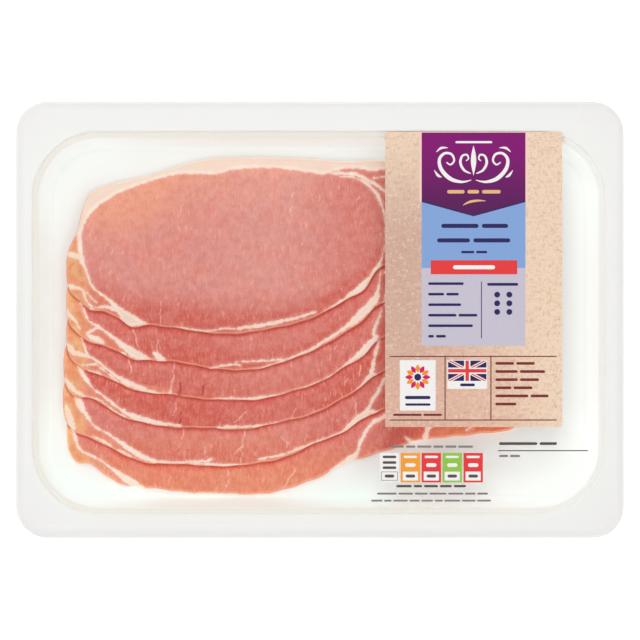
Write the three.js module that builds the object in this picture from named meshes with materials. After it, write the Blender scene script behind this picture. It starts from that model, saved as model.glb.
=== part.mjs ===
// A sealed pack of back bacon: a formed plastic tray, a clear film welded over its flange,
// a printed label on the film, and six rashers fanned out inside, each lying on the next one.
// Millimetres. X runs along the pack, Y across it, Z up. The origin is under the middle of the pack,
// on the surface that the tray's flat floor rests on.
import * as THREE from "three";

// The tray, seen from above: an outer edge, and a mouth that sits a little towards the near left.
const PACK_LENGTH = 260;
const PACK_WIDTH = 186.6;
const TRAY_HEIGHT = 17;
const PLASTIC = 0.6;
const OUTER_CORNER_RADIUS = 13.5;
const MOUTH_CORNER_RADIUS = 29;
const FLANGE = { left: 6.6, right: 7.8, back: 12.5, front: 10 };
const CORNER_STEPS = 8;

// The tray's section, from the turned-down lip to the floor. The wall leans in by 15 degrees.
const LIP_DROP = 2;
const LIP_RADIUS = 0.9;
const STEP_DROP = 1.5;
const LEDGE_WIDTH = 2;
const SECOND_STEP_DROP = 1.1;
const WALL_TOP_INSET = 3.1;
const WALL_LEAN = THREE.MathUtils.degToRad(15);
const FLOOR_FILLET = 2.4;
const FILLET_STEPS = 4;

// The film and the label are laid flat on each other, a hair apart.
const LAID_GAP = 0.05;
const FILM = 0.3;
const FILM_INSET = 1.1;
const LABEL = { left: 27.9, right: 103.6, back: 80.3, front: -45.9, thickness: 0.2 };

// The rashers. Their thickness and the slack between two of them set the fan's height.
const RASHER = 2.1;
const RASHER_GAP = 0.4;
const FLOOR_GAP = 0.3;
const EDGE_ROUND = 0.9;
const DROOP = 30; // how far from the edge of a lower rasher the one above it comes down again
const LENGTH_STEPS = 40;
const WIDTH_STEPS = 9;
const OUTLINE_STEPS = 66;

// The near edge of the top rasher, and how far each next one lies nearer to the front and to the left.
const FIRST_NEAR_EDGE = -6.1;
const FAN_STEPS = [0, 14.5, 13.9, 13.5, 14.8, 13.7];
const SIDE_SHIFTS = [0, 0, 0, -1.3, -1.7, -0.2];

// A rasher's outline, from the chine end on the left round the loin to the blunt tail on the right.
// Each pair is a distance along the pack and a height above the rasher's near edge.
const NEAR_EDGE = [
  [-109.1, 30.8], [-108.8, 23.1], [-107.3, 18], [-103.9, 14.5], [-98.3, 12.1], [-92.4, 9.7],
  [-86.4, 6.6], [-80.8, 3.9], [-73.5, 2.9], [-62, 1.8], [-47, 0.3], [-29.9, 0.2],
  [-14.9, 3.1], [-0.8, 8], [10.7, 14.1], [18.9, 18.8], [25.7, 24.5], [38.1, 28.4],
  [54.4, 31.2], [70, 32.8], [80, 33.6], [85, 36.5], [86.2, 43],
];
const FAR_EDGE = [
  [-109.1, 30.8], [-108.4, 35.5], [-106.5, 40], [-104.3, 45], [-102.8, 52], [-99.8, 59.5],
  [-94, 63.4], [-84, 66], [-73.5, 68.2], [-62, 72], [-47, 75.5], [-29.9, 76.1],
  [-14.9, 75.9], [-0.8, 75.3], [10.7, 74.4], [19.5, 73.9], [27.8, 73], [40, 70.6],
  [55, 66], [69, 60.5], [79.5, 55.5], [84.8, 50.5], [86.2, 43],
];

// No two rashers are cut alike: how much further forward each one's near edge reaches, from its
// fifth point on. The last value in a row holds for that rasher's whole tail.
const FIRST_UNEVEN_POINT = 4;
const UNEVENNESS = [
  [1.8, 0.3, 0, 1.4, -0.6, -0.7, 0.3, -0.3, -0.1, 0.3, 0, -0.2, -3.7],
  [1.4, 0.7, 0.2, 0.3, -0.3, -0.3, 0.6, 1.5, 0.3, 0, -0.9, -1.7, -2.4],
  [0.6, -0.1, -0.5, -0.8, 0.1, -0.1, 0.3, 0.3, 0.5, 0.7, 0, 0.2, -1.6],
  [-2.2, -2.1, -0.9, -1, -0.3, 0.1, -0.7, -0.7, -0.8, 0.3, 0.8, 0, 0.1],
  [-0.1, 0.3, 0.6, 0.5, 1.7, 1.4, 0.6, 0.2, 0.1, -1, 0.4, -0.4, 2.1],
  [-1.6, 0.7, 0.6, -0.6, -0.8, -0.5, -1.2, -1, 0.1, -0.2, -0.3, 2.2, 5.5],
];

function material(color, roughness, opacity = 1) {
  return new THREE.MeshStandardMaterial({
    color,
    roughness,
    metalness: 0,
    transparent: opacity < 1,
    opacity,
  });
}

// A closed rounded rectangle as points, anticlockwise. Every ring has the same number of points.
function roundedRing(box, inset, radius) {
  const corners = [
    [box.right - inset, box.back - inset, 1, 1],
    [box.left + inset, box.back - inset, -1, 1],
    [box.left + inset, box.front + inset, -1, -1],
    [box.right - inset, box.front + inset, 1, -1],
  ];
  const points = [];
  corners.forEach(([x, y, sideX, sideY], corner) => {
    for (let step = 0; step <= CORNER_STEPS; step++) {
      const angle = ((corner + step / CORNER_STEPS) * Math.PI) / 2;
      points.push(
        new THREE.Vector2(
          x - sideX * radius + radius * Math.cos(angle),
          y - sideY * radius + radius * Math.sin(angle),
        ),
      );
    }
  });
  return points;
}

const OUTER_BOX = {
  left: -PACK_LENGTH / 2,
  right: PACK_LENGTH / 2,
  back: PACK_WIDTH / 2,
  front: -PACK_WIDTH / 2,
};
const MOUTH_BOX = {
  left: OUTER_BOX.left + FLANGE.left,
  right: OUTER_BOX.right - FLANGE.right,
  back: OUTER_BOX.back - FLANGE.back,
  front: OUTER_BOX.front + FLANGE.front,
};

const outerRing = (inset) => roundedRing(OUTER_BOX, inset, OUTER_CORNER_RADIUS - inset);
const mouthRing = (inset) => roundedRing(MOUTH_BOX, inset, MOUTH_CORNER_RADIUS - inset);

// The upper face of the tray's section. "run" is measured inwards, from the outer edge on the
// flange's lip and from the mouth elsewhere, and each entry says which of the two it uses.
function trayStations() {
  const top = TRAY_HEIGHT;
  const stations = [{ ring: outerRing, run: 0, z: top - LIP_DROP }];
  for (let step = 0; step <= FILLET_STEPS; step++) {
    const angle = (step / FILLET_STEPS) * (Math.PI / 2);
    stations.push({
      ring: outerRing,
      run: LIP_RADIUS * (1 - Math.cos(angle)),
      z: top - LIP_RADIUS * (1 - Math.sin(angle)),
    });
  }
  const ledge = top - STEP_DROP;
  const wallTop = ledge - SECOND_STEP_DROP;
  stations.push({ ring: mouthRing, run: -0.4, z: top });
  stations.push({ ring: mouthRing, run: 0, z: top - 0.3 });
  stations.push({ ring: mouthRing, run: 0.3, z: ledge + 0.3 });
  stations.push({ ring: mouthRing, run: 0.7, z: ledge });
  stations.push({ ring: mouthRing, run: LEDGE_WIDTH, z: ledge - 0.1 });
  stations.push({ ring: mouthRing, run: WALL_TOP_INSET - 0.4, z: ledge - 0.5 });
  stations.push({ ring: mouthRing, run: WALL_TOP_INSET, z: wallTop });
  const footHeight = PLASTIC + FLOOR_FILLET * (1 - Math.sin(WALL_LEAN));
  const footRun = WALL_TOP_INSET + (wallTop - footHeight) * Math.tan(WALL_LEAN);
  for (let step = 0; step <= FILLET_STEPS; step++) {
    const angle = WALL_LEAN + (step / FILLET_STEPS) * (Math.PI / 2 - WALL_LEAN);
    stations.push({
      ring: mouthRing,
      run: footRun + FLOOR_FILLET * (Math.cos(WALL_LEAN) - Math.cos(angle)),
      z: PLASTIC + FLOOR_FILLET * (1 - Math.sin(angle)),
    });
  }
  return stations;
}

// The lower face: each station moved square to the section by the plastic's thickness.
function undersideOf(stations) {
  const along = (from, to) => {
    if (from.ring !== to.ring) return new THREE.Vector2(1, 0);
    return new THREE.Vector2(to.run - from.run, to.z - from.z).normalize();
  };
  return stations.map((station, at) => {
    const before = at > 0 ? along(stations[at - 1], station) : along(station, stations[at + 1]);
    const after =
      at < stations.length - 1 ? along(station, stations[at + 1]) : new THREE.Vector2(1, 0);
    const bisector = before.clone().add(after).normalize();
    const stretch = PLASTIC / Math.max(bisector.dot(before), 0.5);
    return {
      ring: station.ring,
      run: station.run + bisector.y * stretch,
      z: station.z - bisector.x * stretch,
    };
  });
}

// A closed body from a stack of rings: neighbours are joined all round, and both ends are capped.
function bodyFromRings(rings) {
  const size = rings[0].length;
  const positions = rings.flat().flatMap((point) => point.toArray());
  const faces = [];
  for (let level = 0; level + 1 < rings.length; level++) {
    for (let at = 0; at < size; at++) {
      const next = (at + 1) % size;
      const a = level * size + at;
      const b = level * size + next;
      const c = (level + 1) * size + next;
      const d = (level + 1) * size + at;
      faces.push(a, b, c, a, c, d);
    }
  }
  const cap = (level, flip) => {
    const flat = rings[level].map((point) => new THREE.Vector2(point.x, point.y));
    for (const [a, b, c] of THREE.ShapeUtils.triangulateShape(flat, [])) {
      const corner = [level * size + a, level * size + b, level * size + c];
      faces.push(...(flip ? corner.reverse() : corner));
    }
  };
  cap(0, true);
  cap(rings.length - 1, false);
  const geometry = new THREE.BufferGeometry();
  geometry.setAttribute("position", new THREE.Float32BufferAttribute(positions, 3));
  geometry.setIndex(faces);
  return geometry;
}

function makeTray() {
  const upper = trayStations();
  const lower = undersideOf(upper);
  lower[lower.length - 1].z = 0;
  lower[0].z = upper[0].z;
  // From the middle of the floor's underside, out and round the lip, and back in to the floor.
  const rings = [...lower.reverse(), ...upper].map(({ ring, run, z }) =>
    ring(run).map((point) => new THREE.Vector3(point.x, point.y, z)),
  );
  const tray = new THREE.Mesh(bodyFromRings(rings), material(0xf1f0ec, 0.35));
  tray.name = "tray";
  return tray;
}

function makeFilm() {
  const shape = new THREE.Shape(outerRing(FILM_INSET));
  const geometry = new THREE.ExtrudeGeometry(shape, { depth: FILM, bevelEnabled: false });
  const film = new THREE.Mesh(geometry, material(0xffffff, 0.08, 0.15));
  film.name = "film";
  film.position.z = TRAY_HEIGHT + LAID_GAP;
  return film;
}

function makeLabel() {
  const geometry = new THREE.BoxGeometry(
    LABEL.right - LABEL.left,
    LABEL.back - LABEL.front,
    LABEL.thickness,
  );
  const label = new THREE.Mesh(geometry, material(0xdcb99a, 0.8));
  label.name = "label";
  label.position.set(
    (LABEL.left + LABEL.right) / 2,
    (LABEL.back + LABEL.front) / 2,
    TRAY_HEIGHT + 2 * LAID_GAP + FILM + LABEL.thickness / 2,
  );
  return label;
}

// Where each rasher lies, top one first.
function rasherPlaces() {
  let nearEdge = FIRST_NEAR_EDGE;
  return FAN_STEPS.map((step, order) => {
    nearEdge -= step;
    return { nearEdge, shift: SIDE_SHIFTS[order], forward: UNEVENNESS[order] };
  });
}

// How far forward a rasher's near edge reaches at one of its points.
function forwardAt(place, at) {
  if (at < FIRST_UNEVEN_POINT) return 0;
  return place.forward[Math.min(at - FIRST_UNEVEN_POINT, place.forward.length - 1)];
}

function placedNearEdge(place) {
  return new THREE.SplineCurve(
    NEAR_EDGE.map(
      ([along, height], at) =>
        new THREE.Vector2(along + place.shift, place.nearEdge + height - forwardAt(place, at)),
    ),
  );
}

// The far edge moves with the tail only, so both edges meet at the tip.
function placedFarEdge(place) {
  const tailForward = place.forward[place.forward.length - 1];
  const tailStart = FIRST_UNEVEN_POINT + place.forward.length - 3;
  return new THREE.SplineCurve(
    FAR_EDGE.map(([along, height], at) => {
      const share = THREE.MathUtils.clamp((at - tailStart) / 4, 0, 1);
      return new THREE.Vector2(
        along + place.shift,
        place.nearEdge + height - share * tailForward,
      );
    }),
  );
}

function outlineOf(near, far) {
  const there = near.getPoints(OUTLINE_STEPS);
  const back = far.getPoints(OUTLINE_STEPS).reverse();
  return [...there, ...back.slice(1, -1)];
}

// The distance from a point to a closed outline, above zero inside it.
function depthInside(outline, x, y) {
  let nearest = Infinity;
  let inside = false;
  for (let at = 0, last = outline.length - 1; at < outline.length; last = at++) {
    const a = outline[last];
    const b = outline[at];
    const sideX = b.x - a.x;
    const sideY = b.y - a.y;
    const share = THREE.MathUtils.clamp(
      ((x - a.x) * sideX + (y - a.y) * sideY) / (sideX * sideX + sideY * sideY),
      0,
      1,
    );
    nearest = Math.min(nearest, Math.hypot(x - a.x - share * sideX, y - a.y - share * sideY));
    if (a.y > y !== b.y > y && x < ((b.x - a.x) * (y - a.y)) / (b.y - a.y) + a.x) {
      inside = !inside;
    }
  }
  return inside ? nearest : -nearest;
}

// The height of a rasher's underside: each rasher below lifts it by one layer over its own area,
// and it comes down again over the droop beyond that rasher's edge.
function undersideHeight(outlinesBelow, x, y) {
  const layer = RASHER + RASHER_GAP;
  return outlinesBelow.reduce(
    (height, outline) =>
      height + layer * THREE.MathUtils.smoothstep(depthInside(outline, x, y), -DROOP, 0),
    PLASTIC + FLOOR_GAP,
  );
}

// A rasher is a sheet ruled between its two edges, thickened up and down, and thinned to nothing
// over the rounded edge. Its two faces share the points of the outline and the two tips.
function rasherGeometry(near, far, outline, outlinesBelow) {
  const positions = [];
  const addPoint = (flat, side) => {
    const depth = Math.max(depthInside(outline, flat.x, flat.y), 0);
    const fullness = Math.sqrt(1 - (1 - Math.min(depth / EDGE_ROUND, 1)) ** 2);
    const middle = undersideHeight(outlinesBelow, flat.x, flat.y) + RASHER / 2;
    positions.push(flat.x, flat.y, middle + (side * fullness * RASHER) / 2);
    return positions.length / 3 - 1;
  };
  const columns = [];
  for (let i = 0; i <= LENGTH_STEPS; i++) {
    const from = near.getPoint(i / LENGTH_STEPS);
    const to = far.getPoint(i / LENGTH_STEPS);
    if (i === 0 || i === LENGTH_STEPS) {
      const tip = addPoint(from, 0);
      const tips = Array(WIDTH_STEPS + 1).fill(tip);
      columns.push({ upper: tips, lower: tips });
      continue;
    }
    const round = Math.min(EDGE_ROUND / from.distanceTo(to), 0.2);
    const column = { upper: [], lower: [] };
    for (let j = 0; j <= WIDTH_STEPS; j++) {
      const spread = round + ((j - 1) / (WIDTH_STEPS - 2)) * (1 - 2 * round);
      const share = j === 0 ? 0 : j === WIDTH_STEPS ? 1 : spread;
      const flat = from.clone().lerp(to, share);
      const onOutline = j === 0 || j === WIDTH_STEPS;
      const upper = addPoint(flat, onOutline ? 0 : 1);
      column.upper.push(upper);
      column.lower.push(onOutline ? upper : addPoint(flat, -1));
    }
    columns.push(column);
  }
  const faces = [];
  const addFace = (a, b, c) => {
    if (a !== b && b !== c && c !== a) faces.push(a, b, c);
  };
  for (let i = 0; i < LENGTH_STEPS; i++) {
    for (let j = 0; j < WIDTH_STEPS; j++) {
      const [here, next] = [columns[i], columns[i + 1]];
      addFace(here.upper[j], next.upper[j], next.upper[j + 1]);
      addFace(here.upper[j], next.upper[j + 1], here.upper[j + 1]);
      addFace(here.lower[j], next.lower[j + 1], next.lower[j]);
      addFace(here.lower[j], here.lower[j + 1], next.lower[j + 1]);
    }
  }
  const geometry = new THREE.BufferGeometry();
  geometry.setAttribute("position", new THREE.Float32BufferAttribute(positions, 3));
  geometry.setIndex(faces);
  return geometry;
}

function makeRashers() {
  const group = new THREE.Group();
  const curves = rasherPlaces().map((place) => ({
    near: placedNearEdge(place),
    far: placedFarEdge(place),
  }));
  const outlines = curves.map(({ near, far }) => outlineOf(near, far));
  curves.forEach(({ near, far }, order) => {
    const below = outlines.slice(order + 1);
    const rasher = new THREE.Mesh(
      rasherGeometry(near, far, outlines[order], below),
      material(0xd97e70, 0.45),
    );
    rasher.name = `rasher_${order + 1}`;
    group.add(rasher);
  });
  return group;
}

const pack = new THREE.Group();
pack.add(makeTray(), makeFilm(), makeLabel(), makeRashers());

export default pack;
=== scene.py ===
import math

import bmesh
import bpy
import numpy as np
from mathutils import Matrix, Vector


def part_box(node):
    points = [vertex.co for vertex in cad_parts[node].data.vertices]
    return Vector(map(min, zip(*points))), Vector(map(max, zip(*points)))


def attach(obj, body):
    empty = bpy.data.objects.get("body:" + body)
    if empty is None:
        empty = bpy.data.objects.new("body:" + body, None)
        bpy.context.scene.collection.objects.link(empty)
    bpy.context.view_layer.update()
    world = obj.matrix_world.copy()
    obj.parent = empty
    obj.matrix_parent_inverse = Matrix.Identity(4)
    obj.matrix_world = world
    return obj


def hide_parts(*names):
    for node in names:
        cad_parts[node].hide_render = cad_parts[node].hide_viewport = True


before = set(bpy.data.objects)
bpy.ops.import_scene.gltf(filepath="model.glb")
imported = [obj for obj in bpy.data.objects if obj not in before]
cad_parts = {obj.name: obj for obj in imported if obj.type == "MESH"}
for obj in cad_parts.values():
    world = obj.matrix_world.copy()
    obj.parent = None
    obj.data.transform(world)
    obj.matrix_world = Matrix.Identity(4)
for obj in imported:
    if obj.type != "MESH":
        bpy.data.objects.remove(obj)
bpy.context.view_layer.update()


# The studio. The pack lies on a white table under large soft lamps that stand round it, so that
# none of them is mirrored in the film, and the camera looks straight down on it through a long lens.
MM = 0.001
PHOTO_WIDTH_PIXELS = 640
PACK_LENGTH_PIXELS = 607.8
SHOT_CENTRE_MM = (0.04, -0.15)
LENS_MM = 200
SENSOR_MM = 36
ROOM_TONE = (1.0, 0.99, 0.98, 1)
ROOM_LIGHT = 0.342
FLANGE_TOP_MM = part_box("tray")[1][2] / MM
pack_length = (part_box("tray")[1][0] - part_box("tray")[0][0]) / MM
view_width = PHOTO_WIDTH_PIXELS * pack_length / PACK_LENGTH_PIXELS

camera_data = bpy.data.cameras.new("camera")
camera_data.lens = LENS_MM
camera_data.sensor_width = SENSOR_MM
camera = bpy.data.objects.new("camera", camera_data)
camera.location = (
    SHOT_CENTRE_MM[0] * MM,
    SHOT_CENTRE_MM[1] * MM,
    (FLANGE_TOP_MM + view_width * LENS_MM / SENSOR_MM) * MM,
)
bpy.context.scene.collection.objects.link(camera)
bpy.context.scene.camera = camera
bpy.context.scene.view_settings.view_transform = "Standard"

world = bpy.data.worlds.new("room")
world.use_nodes = True
room = world.node_tree.nodes["Background"]
room.inputs["Color"].default_value = ROOM_TONE
room.inputs["Strength"].default_value = ROOM_LIGHT
bpy.context.scene.world = world

# Each lamp: its bearing, its height angle, its power in watts and its width, all aimed at the pack.
LAMP_DISTANCE = 1.3
LAMPS = {
    "back_lamp": (100, 58, 5.1, 0.9),
    "left_lamp": (190, 52, 3.2, 0.8),
    "right_lamp": (-10, 52, 2.7, 0.8),
    "front_lamp": (-80, 55, 2.7, 0.9),
}
for lamp_name, (bearing, rise, power, width) in LAMPS.items():
    lamp = bpy.data.lights.new(lamp_name, "AREA")
    lamp.energy = power
    lamp.size = width
    lamp_object = bpy.data.objects.new(lamp_name, lamp)
    flat = LAMP_DISTANCE * math.cos(math.radians(rise))
    lamp_object.location = (
        flat * math.cos(math.radians(bearing)),
        flat * math.sin(math.radians(bearing)),
        LAMP_DISTANCE * math.sin(math.radians(rise)),
    )
    lamp_object.rotation_euler = (0, math.radians(90 - rise), math.radians(bearing))
    bpy.context.scene.collection.objects.link(lamp_object)


# The table: a matt white board under the pack, which belongs to the shot and not to the part. A
# little light of its own keeps it white out to the picture's edges.
TABLE_HALF = 3000
TABLE_DROP = 0.05
TABLE_LIGHT = 0.3


class Term:
    """One value, colour or vector of a material. Arithmetic on it adds Math nodes to the tree."""

    def __init__(self, tree, socket=None):
        self.tree = tree
        self.socket = socket

    def feed(self, made, inputs):
        """Gives a node's inputs, by name or number, a plain value or a link from another term."""
        for key, given in inputs.items():
            if isinstance(given, Term):
                self.tree.links.new(given.socket, made.inputs[key])
            else:
                made.inputs[key].default_value = given

    def node(self, kind, settings=None, inputs=None, output=0):
        """Adds a node of a type, with its settings first and then its inputs, and returns its output."""
        made = self.tree.nodes.new("ShaderNode" + kind)
        for name, setting in (settings or {}).items():
            setattr(made, name, setting)
        self.feed(made, inputs or {})
        return Term(self.tree, made.outputs[output])

    def math(self, operation, *values):
        return self.node("Math", {"operation": operation}, dict(enumerate(values)))

    def __add__(self, other):
        return self.math("ADD", self, other)

    def __radd__(self, other):
        return self.math("ADD", other, self)

    def __sub__(self, other):
        return self.math("SUBTRACT", self, other)

    def __rsub__(self, other):
        return self.math("SUBTRACT", other, self)

    def __mul__(self, other):
        return self.math("MULTIPLY", self, other)

    def __rmul__(self, other):
        return self.math("MULTIPLY", other, self)

    def step(self, low, high):
        """0 up to low, 1 from high on, and a smooth step between them. It falls where low is the larger."""
        settings = {"interpolation_type": "SMOOTHSTEP"}
        return self.node("MapRange", settings, {"Value": self, "From Min": low, "From Max": high})

    def mix(self, low, high):
        """The colour low where this value is 0, high where it is 1, and between them otherwise."""
        return self.node("Mix", {"data_type": "RGBA"}, {0: self, 6: low, 7: high}, 2)

    def part(self, axis):
        """This vector's part along X, Y or Z."""
        return self.node("SeparateXYZ", None, {0: self}, axis)

    def carried(self, name):
        """A value that the piece's points carry."""
        return self.node("Attribute", {"attribute_name": name}, None, "Fac")

    def stretch(self, x, y, z):
        """This vector with its three parts scaled."""
        return self.node("Mapping", None, {"Vector": self, "Scale": (x, y, z)})

    def dim(self, amount):
        """This colour times a value."""
        return self.node("VectorMath", {"operation": "SCALE"}, {0: self, "Scale": amount})

    def noise(self, scale, detail=2.0, roughness=0.5):
        """Cloudy noise from 0 to 1 at this vector."""
        inputs = {"Vector": self, "Scale": scale, "Detail": detail, "Roughness": roughness}
        return self.node("TexNoise", None, inputs)

    def bump(self, distance_mm, strength=1.0):
        """A normal that makes this value look like relief of a height in millimetres."""
        inputs = {"Height": self, "Distance": distance_mm * MM, "Strength": strength}
        return self.node("Bump", None, inputs)


def colour(red, green, blue):
    """A colour written as it shows on a screen, 0 to 255, in the linear values that shaders take."""
    shown = np.array([red, green, blue]) / 255
    linear = np.where(shown <= 0.04045, shown / 12.92, ((shown + 0.055) / 1.055) ** 2.4)
    return (*linear.tolist(), 1.0)


def new_material(name):
    """A material, its Principled shader, and the object's own coordinates in millimetres."""
    made = bpy.data.materials.new(name)
    made.use_nodes = True
    tree = made.node_tree
    place = Term(tree).node("TexCoord", output="Object")
    return made, tree.nodes["Principled BSDF"], place.stretch(1 / MM, 1 / MM, 1 / MM)


def new_piece(name, points, faces, material):
    """A smooth mesh object at the origin, from points in millimetres and faces that point outwards."""
    mesh = bpy.data.meshes.new(name)
    mesh.from_pydata((np.asarray(points) * MM).tolist(), [], faces)
    mesh.shade_smooth()
    mesh.materials.append(material)
    piece = bpy.data.objects.new(name, mesh)
    bpy.context.scene.collection.objects.link(piece)
    return piece


table_finish, table_shader, table_place = new_material("table_white")
table_tone = table_place.noise(0.01).mix(colour(250, 250, 250), colour(252, 252, 252))
table_shader.inputs["Roughness"].default_value = 0.9
table_shader.inputs["Emission Color"].default_value = (1, 1, 1, 1)
table_shader.inputs["Emission Strength"].default_value = TABLE_LIGHT
table_place.feed(table_shader, {"Base Color": table_tone})
signs = ((-1, -1), (1, -1), (1, 1), (-1, 1))
table_corners = [(x * TABLE_HALF, y * TABLE_HALF, -TABLE_DROP) for x, y in signs]
table = new_piece("table", table_corners, [(0, 1, 2, 3)], table_finish)


# The tray: one sheet of milky white plastic, drawn down over a mould, so every bend is round. A lip
# turns down round the flange, and two small steps below the mouth stiffen the leaning walls.
PLASTIC = 0.6
CORNER_STEPS = 24
BEND_STEPS = 7
OUTER_EDGES = (-130, 130, -93.3, 93.3)
OUTER_RADIUS = 13.5
MOUTH_EDGES = (-123.4, 122.2, -83.3, 80.8)
MOUTH_RADIUS = 29


def grid_faces(rows, columns, closed=False):
    """Quads between the points of a grid. Where it is closed, the last column joins the first."""
    row, column = np.mgrid[0 : rows - 1, 0 : columns - (not closed)]
    beside = (column + 1) % columns
    corners = (row * columns + column, row * columns + beside)
    above = ((row + 1) * columns + beside, (row + 1) * columns + column)
    return np.stack([*corners, *above], axis=-1).reshape(-1, 4)


def carry(piece, name, values):
    """Stores one number for each point of a piece, for its material to read."""
    carried = piece.data.attributes.new(name, "FLOAT", "POINT")
    carried.data.foreach_set("value", np.asarray(values, np.float32).ravel())


def rounded_profile(corners, radii):
    """A polyline whose inner corners are arcs. An arc starts radius * tan(turn / 2) before its corner
    and runs start + radius * (sin(angle) * way in + (1 - cos(angle)) * side)."""
    corners = np.array(corners, float)
    parts = [corners[:1]]
    for before, corner, after, radius in zip(corners, corners[1:], corners[2:], radii):
        way_in = (corner - before) / np.linalg.norm(corner - before)
        way_out = (after - corner) / np.linalg.norm(after - corner)
        turn = math.acos(np.clip(way_in @ way_out, -1, 1))
        side = np.array([-way_in[1], way_in[0]])
        side *= np.sign(side @ way_out)
        angle = np.linspace(0, turn, BEND_STEPS)[:, None]
        start = corner - way_in * radius * math.tan(turn / 2)
        parts.append(start + radius * (np.sin(angle) * way_in + (1 - np.cos(angle)) * side))
    return np.vstack([*parts, corners[-1:]])


def rounded_rings(edges, radius, profile):
    """A rounded rectangle for each row (inset, height) of a profile. A corner's centre stays where it
    is and its radius is the outer one less the inset."""
    left, right, front, back = edges
    turn = (np.arange(4)[:, None] + np.linspace(0, 1, CORNER_STEPS + 1)) * np.pi / 2
    centre_x = np.array([right - radius, left + radius, left + radius, right - radius])[:, None]
    centre_y = np.array([back - radius, back - radius, front + radius, front + radius])[:, None]
    reach = (radius - profile[:, 0])[:, None, None]
    x = (centre_x + reach * np.cos(turn)).reshape(len(profile), -1)
    y = (centre_y + reach * np.sin(turn)).reshape(len(profile), -1)
    return np.stack([x, y, np.broadcast_to(profile[:, 1:], x.shape)], axis=-1)


# Both profiles are (inset, height): the lip's from its foot up and in over the flange, the mouth's
# from the flange down past the ledge and the wall to the floor. The radii are those of the bends.
top = FLANGE_TOP_MM
lip = rounded_profile([(0, top - 2), (0, top), (1.5, top)], [0.9])
mouth_corners = [
    (-1.2, top), (-0.05, top), (0.45, top - 1.52), (2.4, top - 1.62), (3.05, top - 2.5), (6.8, PLASTIC),
    (20, PLASTIC),
]
mouth = rounded_profile(mouth_corners, [0.45, 0.4, 0.5, 0.8, 2.4])
tray_rings = np.vstack(
    [rounded_rings(OUTER_EDGES, OUTER_RADIUS, lip), rounded_rings(MOUTH_EDGES, MOUTH_RADIUS, mouth)]
)
ring_count, ring_size = tray_rings.shape[:2]
tray_faces = grid_faces(ring_count, ring_size, closed=True).tolist()
tray_faces.append(list(range((ring_count - 1) * ring_size, ring_count * ring_size)))

# The flange is painted paler towards the mouth and the deep part darker, both painted shade, and the
# ledge carries a painted shade, heavier on the left. The upper face has a painted glow that lifts the
# shade on the floor and walls, most of all on the walls and close to them, and beside the label, where
# it fills the label's shadow. This painted light is cooler where the red meat would tint the plastic.
# The colours of the painted glow: plain, and cooler where the red meat would tint the plastic.
PLAIN_GLOW = (1.0, 1.16, 1.16, 1)
COOL_GLOW = (1.0, 1.5, 1.45, 1)
tray_finish, tray_shader, tray_place = new_material("milky_plastic")
inward, by_wall = tray_place.carried("inward"), tray_place.carried("by_wall")
tray_x, tray_y, tray_z = (tray_place.part(axis) for axis in "XYZ")
upward = tray_place.node("TexCoord", output="Normal").part("Z")
# Where the painted glow lies: the deep floor, more close to the walls and beside the label, where it fills
# the label's shadow, and the walls.
on_floor = tray_z.step(top - 1.2, top - 3.4) * upward.step(0, 0.1)
on_wall = upward.step(0, 0.1) * upward.step(0.98, 0.75) * inward
floor_glow_by_label = tray_x.step(15, 45) * (0.03 + tray_y.step(-80, -35) * 0.06)
tray_glow = on_floor * (0.08 + by_wall * 0.07 + floor_glow_by_label) + on_wall * 0.1
front_and_back = 0.7 - tray_y.step(5, 40) * 0.55 + tray_y.step(-60, -74) * 0.3
by_meat = by_wall * tray_x.step(45, 15) * front_and_back
haze = tray_place.noise(0.02, 1)
# Painted shade: the base is paler towards the mouth and darker deep in the tray.
tray_tone = inward.step(0, 1).mix(colour(252, 251, 250), colour(255, 255, 253))
tray_tone = tray_z.step(top - 0.5, top - 5).mix(tray_tone, colour(236, 236, 233))
# Painted shade on the ledge under the mouth, heavier on the left.
ledge = tray_z.step(top - 0.2, top - 1.2) * tray_z.step(top - 4.6, top - 2.4)
tray_tone = (ledge * (0.75 - tray_x.step(50, 110) * 0.4)).mix(tray_tone, colour(243, 240, 230))
tray_tone = (haze * 0.2).mix(tray_tone, colour(244, 245, 240))
pull = tray_place.noise(0.35, 1)
tray_place.feed(
    tray_shader,
    {
        "Base Color": tray_tone,
        "Roughness": 0.3 + pull * 0.12,
        "Emission Color": by_meat.mix(PLAIN_GLOW, COOL_GLOW).dim(tray_glow),
        "Emission Strength": 1.0,
        "Normal": pull.bump(0.12, 0.5),
    },
)
tray = new_piece("tray_shell", tray_rings.reshape(-1, 3), tray_faces, tray_finish)
ring_number = np.repeat(np.arange(ring_count), ring_size)
inside_lip = ring_number >= len(lip)
carry(tray, "inward", inside_lip)
carry(tray, "by_wall", inside_lip & (ring_number < ring_count - 1))
thickness = tray.modifiers.new("sheet", "SOLIDIFY")
thickness.thickness = PLASTIC * MM
thickness.offset = -1
thickness.use_even_offset = True
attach(tray, "root")
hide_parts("tray")


# The rashers: six slices of one cured back, laid from the front like roof slates, each on the next.
# A slice shows the round loin eye under its strip of back fat, the small muscles of the chine on the
# left, and the streaky tail on the right, with seams of fat between them.
RASHER = 2.1
RASHER_GAP = 0.4
FLOOR_GAP = 0.3
EDGE_ROUND = 0.9
DROOP = 30
CELLS_PER_POINT = 20
WIDTH_CELLS = 150
UNDER_CELLS = 12
EDGE_CROWDING = 0.55
FIRST_NEAR_EDGE = -6.1
FAN_STEPS = (0, 14.5, 13.9, 13.5, 14.8, 13.7)
SIDE_SHIFTS = (0, 0, 0, -1.3, -1.7, -0.2)
NEAR_EDGE = np.array([
    (-109.1, 30.8), (-108.8, 23.1), (-107.3, 18), (-103.9, 14.5), (-98.3, 12.1), (-92.4, 9.7),
    (-86.4, 6.6), (-80.8, 3.9), (-73.5, 2.9), (-62, 1.8), (-47, 0.3), (-29.9, 0.2),
    (-14.9, 3.1), (-0.8, 8), (10.7, 14.1), (18.9, 18.8), (25.7, 24.5), (38.1, 28.4),
    (54.4, 31.2), (70, 32.8), (80, 33.6), (85, 36.5), (86.2, 43),
])
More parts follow.
